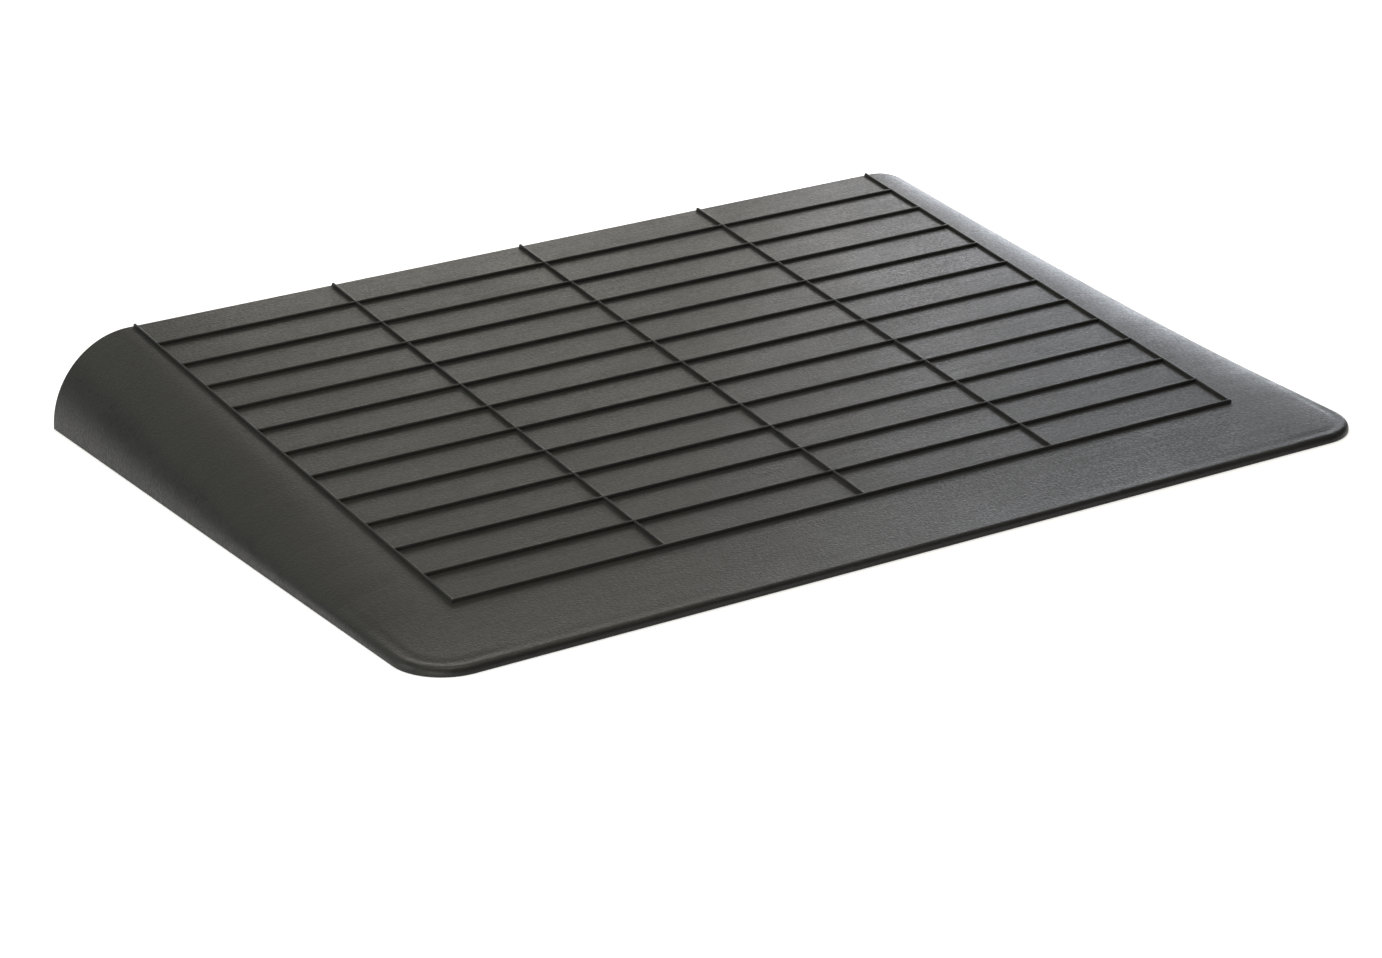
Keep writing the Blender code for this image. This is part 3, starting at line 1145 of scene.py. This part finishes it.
@dataclass
class Screws:
    """All the screws: the ties', driven upwards, and the panel's, driven from the kerb side."""

    cover: Cover
    finish: RolledMetal = RolledMetal(
        "screw steel",
        (0.52, 0.52, 0.50),
        (0.36, 0.35, 0.33),
        gloss=(0.26, 0.38),
        lines=Noise((0.0009, 0.0009, 0.0009)),
    )

    def _drive(self, name: str, nodes: list[str], side: Side, finish: bpy.types.Material) -> None:
        """Models one screw and copies it to each of its nodes.

        Args:
            name: What its pieces are called.
            nodes: The CAD nodes that it stands for.
            side: The side from which they are driven in.
            finish: Their material.
        """
        seat = Seat.of(nodes[0], side)
        screw = Screw(name, abs(seat.end - seat.start)).shape()
        for node in nodes:
            twin = copy_to(screw, node.replace("screw", name), Seat.of(node, side).matrix())
            fit(twin, node, finish)
        bpy.data.objects.remove(screw)

    def build(self) -> None:
        """Models both kinds of screw and drives them all in."""
        finish = self.finish.make()
        places = self.cover.places
        ties = [f"tie_screw_{tie}_{index}" for tie in range(1, TIE_COUNT + 1) for index in places]
        panel = [f"panel_screw_{level}_{index}" for level in LEVELS for index in places]
        self._drive("short_screw", ties, Side.GROUND, finish)
        self._drive("long_screw", panel, Side.KERB, finish)


# The studio


def seen_rays(board: Board) -> Socket:
    """Is 1 for what the camera sees straight, in a reflection or through glass.

    Args:
        board: The board to add it to.

    Returns:
        The socket with its value.
    """
    path = board.add("ShaderNodeLightPath")
    result = path.outputs["Is Camera Ray"]
    for kind in ("Is Glossy Ray", "Is Transmission Ray"):
        result = board.merge("MAXIMUM", result, path.outputs[kind])
    return result


@dataclass(frozen=True)
class Softbox:
    """A soft rectangular lamp."""

    name: str
    place: Point
    aim: Point
    size: Span
    power: float
    colour: Colour

    def hang(self) -> None:
        """Hangs the lamp and turns it to what it lights."""
        data = bpy.data.lights.new(self.name, "AREA")
        data.shape = "RECTANGLE"
        data.size, data.size_y = self.size
        data.energy = self.power
        data.color = self.colour
        lamp = bpy.data.objects.new(self.name, data)
        lamp.location = self.place
        towards = Vector(self.aim) - Vector(self.place)
        lamp.rotation_euler = towards.to_track_quat("-Z", "Y").to_euler()
        lamp.visible_camera = False
        bpy.context.scene.collection.objects.link(lamp)


@dataclass
class Studio:
    """The floor, the light and the camera."""

    target: Point = (-0.0045, 0.0242, -0.0507)
    back: Point = (-0.5132, -0.7728, 0.3733)
    distance: float = 3.368
    lens: float = 103.64
    floor_reach: float = 8.0
    floor_height: float = -0.0004
    floor_colour: Colour = (0.80, 0.80, 0.80)
    floor_roughness: float = 0.9
    floor_lift: float = 0.5
    sky_power: float = 0.15
    lamps: tuple[Softbox, ...] = (
        Softbox("top softbox", (0.0, 0.0, 3.0), ORIGIN, (2.0, 2.0), 46.0, (1.05, 1.0, 0.86)),
        Softbox("left softbox", (-3.0, 0.8, 1.4), ORIGIN, (1.6, 1.6), 36.0, (0.98, 1.0, 0.98)),
        Softbox("back softbox", (-0.5, 3.0, 1.4), ORIGIN, (2.0, 1.4), 10.4, (1.0, 1.01, 0.9)),
        Softbox(
            "low rear softbox", (2.2, 2.4, 0.25), (0.3, 0.1, 0.0),
            (2.6, 0.5), 27.0, (0.95, 1.0, 1.09),
        ),
        Softbox(
            "near right softbox", (1.5, 0.7, 0.8), (0.2, 0.1, 0.0),
            (0.8, 0.8), 3.0, (0.96, 1.0, 1.05),
        ),
        Softbox(
            "near back softbox", (0.6, 1.25, 0.6), (0.2, 0.1, 0.0),
            (0.8, 0.5), 3.8, (1.03, 1.0, 0.9),
        ),
        Softbox(
            "near left softbox", (-0.2, 0.85, 0.95), (-0.4, 0.15, 0.0),
            (0.4, 0.4), 0.3, (1.0, 1.0, 0.98),
        ),
        Softbox(
            "near wing softbox", (0.8, 0.5, 0.4), (0.3, -0.05, 0.0),
            (0.4, 0.3), 1.0, (0.98, 1.0, 1.07),
        ),
        Softbox(
            "near cell softbox", (0.64, 0.55, 0.34), (0.29, 0.12, 0.05),
            (0.25, 0.2), 0.44, (1.02, 0.99, 1.0),
        ),
        Softbox(
            "near corner softbox", (-0.95, -0.75, 0.15), (-0.44, -0.29, 0.0),
            (0.25, 0.12), 2.2, (1.0, 1.0, 0.94),
        ),
    )

    def lay_floor(self) -> None:
        """Lays the pale floor, which takes the ramp's shadow."""
        bench = Bench("floor").start_sheet(
            (-self.floor_reach, -self.floor_reach, self.floor_height),
            (self.floor_reach, self.floor_reach, self.floor_height),
        )
        floor = bench.take_off()
        board = Board("pale floor")
        board.set("Base Color", (*self.floor_colour, 1.0))
        board.set("Roughness", self.floor_roughness)
        lift = board.add("ShaderNodeMath", operation="MULTIPLY")
        lift.inputs[1].default_value = self.floor_lift
        board.join(seen_rays(board), lift.inputs[0])
        board.set("Emission Color", WHITE)
        board.plug(lift.outputs["Value"], "Emission Strength")
        floor.data.materials.append(board.material)
        log.info("%s laid", floor.name)

    def light_sky(self) -> None:
        """Sets the dim light from all round. The white behind the ramp is the floor's."""
        world = bpy.data.worlds.new("studio")
        bpy.context.scene.world = world
        world.use_nodes = True
        sky = world.node_tree.nodes["Background"]
        sky.inputs["Color"].default_value = WHITE
        sky.inputs["Strength"].default_value = self.sky_power

    def set_camera(self) -> None:
        """Stands the camera where the picture was taken from."""
        data = bpy.data.cameras.new("camera")
        data.lens = self.lens
        data.sensor_width = SENSOR_WIDTH
        data.sensor_fit = "HORIZONTAL"
        camera = bpy.data.objects.new("camera", data)
        back = Vector(self.back).normalized()
        camera.location = Vector(self.target) + back * self.distance
        camera.rotation_euler = back.to_track_quat("Z", "Y").to_euler()
        bpy.context.scene.collection.objects.link(camera)
        bpy.context.scene.camera = camera

    def build(self) -> None:
        """Sets up the whole studio."""
        bpy.context.scene.view_settings.view_transform = "Standard"
        self.lay_floor()
        self.light_sky()
        for lamp in self.lamps:
            lamp.hang()
        self.set_camera()


def main() -> None:
    """Builds the ramp and its studio."""
    logging.basicConfig(level=logging.INFO, format="%(message)s")
    cover = Cover()
    cover.build()
    for assembly in (KerbPanel, Bearers, CrossTies, Feet, Screws):
        assembly(cover).build()
    Studio().build()


if __name__ == "__main__":
    main()
